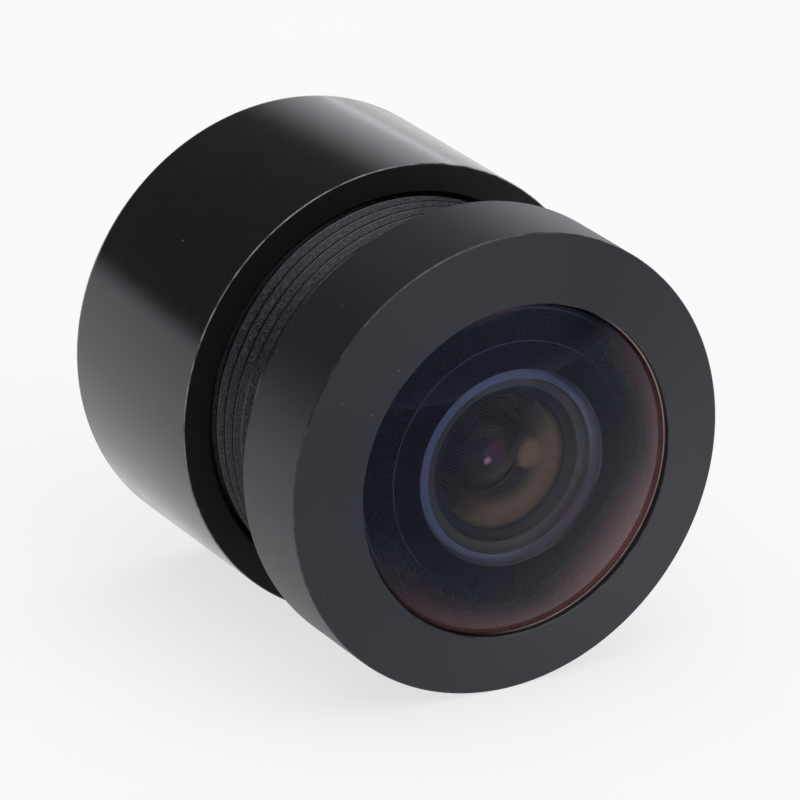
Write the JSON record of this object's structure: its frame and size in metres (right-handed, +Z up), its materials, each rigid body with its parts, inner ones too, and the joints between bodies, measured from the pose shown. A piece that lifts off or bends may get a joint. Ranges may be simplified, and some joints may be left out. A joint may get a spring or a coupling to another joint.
{
  "type": "board camera lens",
  "caption": "Small wide-angle board camera lens with a threaded black barrel, a broad conical front ring round a domed glass, and a push-on round dust cap over its rear.",
  "frame": {"origin": "on the optical axis at the rear shoulder of the head, where the thread begins; the lens lies on its side", "axes": "+Y along the optical axis towards the sensor side and the dust cap, so the front glass looks along -Y; +Z up; +X across"},
  "size_m": [0.014, 0.0151, 0.014],
  "materials": {
    "black_anodised": "black anodised, satin",
    "front_glass": "polished, blue to magenta coating",
    "inner_glass": "polished, olive and purple coating",
    "filter_glass": "polished, pink coating",
    "seal_rubber": "matt black",
    "black_film": "matt black film",
    "stop_metal": "matt black",
    "adhesive": "cured dark adhesive",
    "cap_plastic": "glossy moulded black"
  },
  "bodies": {
    "lens": {"main_barrel": "black_anodised", "front_retaining_cap": "black_anodised", "front_meniscus_lens": "front_glass", "front_seal_ring": "seal_rubber", "first_baffle_sheet": "black_film", "front_spacer": "black_anodised", "second_lens": "inner_glass", "second_baffle_sheet": "black_film", "middle_spacer": "black_anodised", "third_lens": "inner_glass", "stop_spacer": "black_anodised", "aperture_stop": "stop_metal", "fourth_lens_spacer": "black_anodised", "fourth_lens": "inner_glass", "rear_spacer": "black_anodised", "rear_lens": "inner_glass", "third_baffle_sheet": "black_film", "rear_retaining_ring": "black_anodised", "filter_adhesive": "adhesive", "infrared_filter": "filter_glass"},
    "cap": {"dust_cap": "cap_plastic"}
  },
  "joints": [
    {"name": "cap_pull", "type": "slide", "parent": "lens", "child": "cap", "axis": [0, 1, 0], "range_m": [0, 0.009]}
  ]
}
